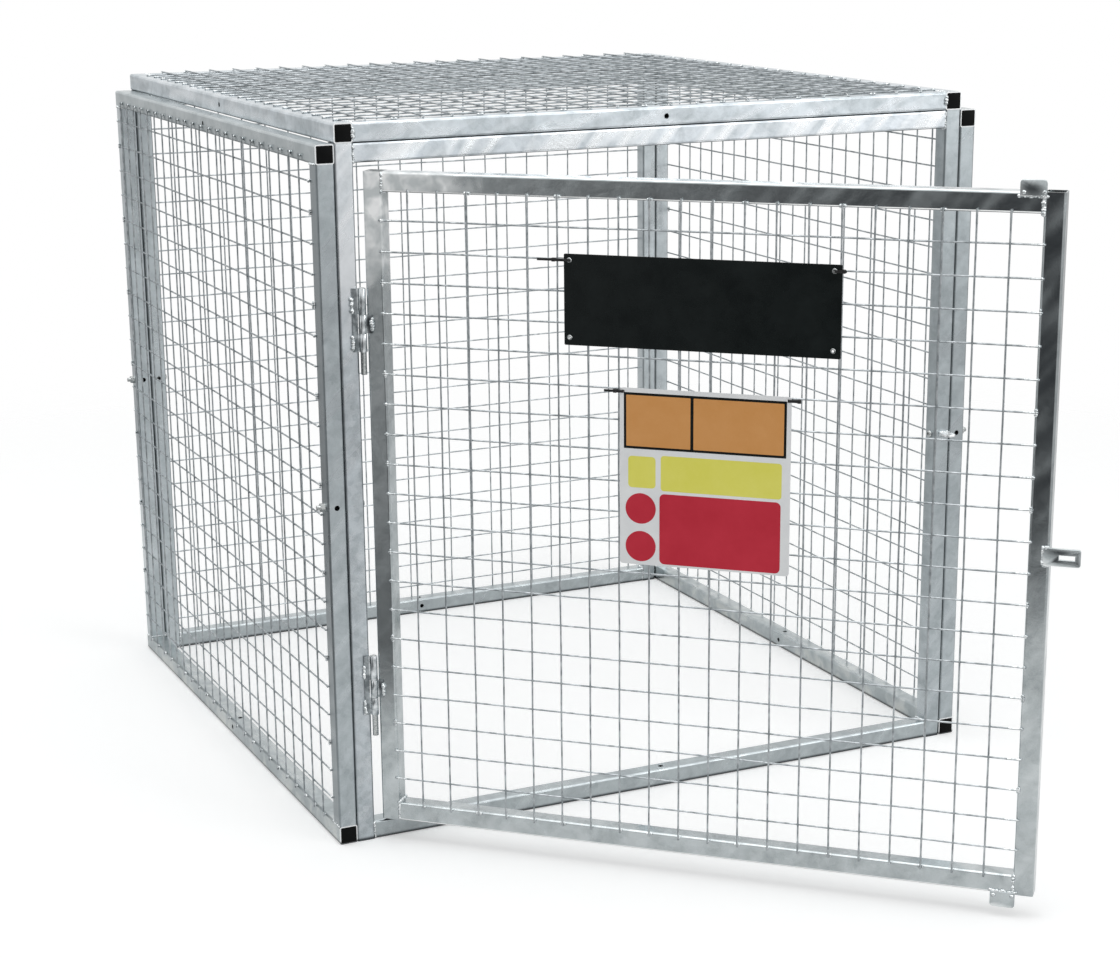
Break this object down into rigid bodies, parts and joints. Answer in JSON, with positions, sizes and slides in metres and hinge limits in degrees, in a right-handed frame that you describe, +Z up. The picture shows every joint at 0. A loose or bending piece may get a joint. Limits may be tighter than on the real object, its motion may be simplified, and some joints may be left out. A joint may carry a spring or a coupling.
{
  "type": "gas cylinder cage",
  "caption": "Near-cubic storage cage of galvanised square tube and welded mesh, with a hinged mesh door, hasp and sign boards.",
  "frame": {"origin": "on the ground at the middle of the cage's floor area", "axes": "+X to the right seen from the front, +Y into the cage, +Z up"},
  "size_m": [1.2782, 2.0265, 1.2246],
  "materials": {
    "galvanised_steel": "hot-dip galvanised, cloudy",
    "galvanised_mesh": "hot-dip galvanised wire",
    "zinc_plated": "bright zinc plated",
    "black_plastic": "black polyethylene",
    "black_board": "black printed board",
    "white_board": "white printed board"
  },
  "bodies": {
    "cage": {"left_front_post": "galvanised_steel", "left_back_post": "galvanised_steel", "left_bottom_rail": "galvanised_steel", "left_top_rail": "galvanised_steel", "left_mesh_a": "galvanised_mesh", "left_mesh_b": "galvanised_mesh", "right_front_post": "galvanised_steel", "right_back_post": "galvanised_steel", "right_bottom_rail": "galvanised_steel", "right_top_rail": "galvanised_steel", "right_mesh_a": "galvanised_mesh", "right_mesh_b": "galvanised_mesh", "front_hinge_post": "galvanised_steel", "front_latch_post": "galvanised_steel", "threshold": "galvanised_steel", "front_top_rail": "galvanised_steel", "back_left_post": "galvanised_steel", "back_right_post": "galvanised_steel", "back_bottom_rail": "galvanised_steel", "back_top_rail": "galvanised_steel", "back_mesh_a": "galvanised_mesh", "back_mesh_b": "galvanised_mesh", "roof_left_rail": "galvanised_steel", "roof_right_rail": "galvanised_steel", "roof_front_rail": "galvanised_steel", "roof_back_rail": "galvanised_steel", "roof_mesh_a": "galvanised_mesh", "roof_mesh_b": "galvanised_mesh", "lock_staple": "galvanised_steel", "hinge_post_leaves": "galvanised_steel", "hinge_pins": "zinc_plated", "panel_bolts": "zinc_plated", "side_rail_caps": "black_plastic", "roof_rail_caps": "black_plastic"},
    "door": {"door_hinge_stile": "galvanised_steel", "door_latch_stile": "galvanised_steel", "door_bottom_rail": "galvanised_steel", "door_top_rail": "galvanised_steel", "door_mesh": "galvanised_mesh", "door_top_stop": "galvanised_steel", "door_bottom_stop": "galvanised_steel", "hasp": "galvanised_steel", "hinge_door_leaves": "galvanised_steel", "upper_sign": "black_board", "lower_sign": "white_board"}
  },
  "joints": [
    {"name": "door_hinge", "type": "hinge", "parent": "cage", "child": "door", "pos_m": [-0.556, -0.614, 0], "axis": [0, 0, -1], "range_deg": [-43.3, 126.4]}
  ]
}
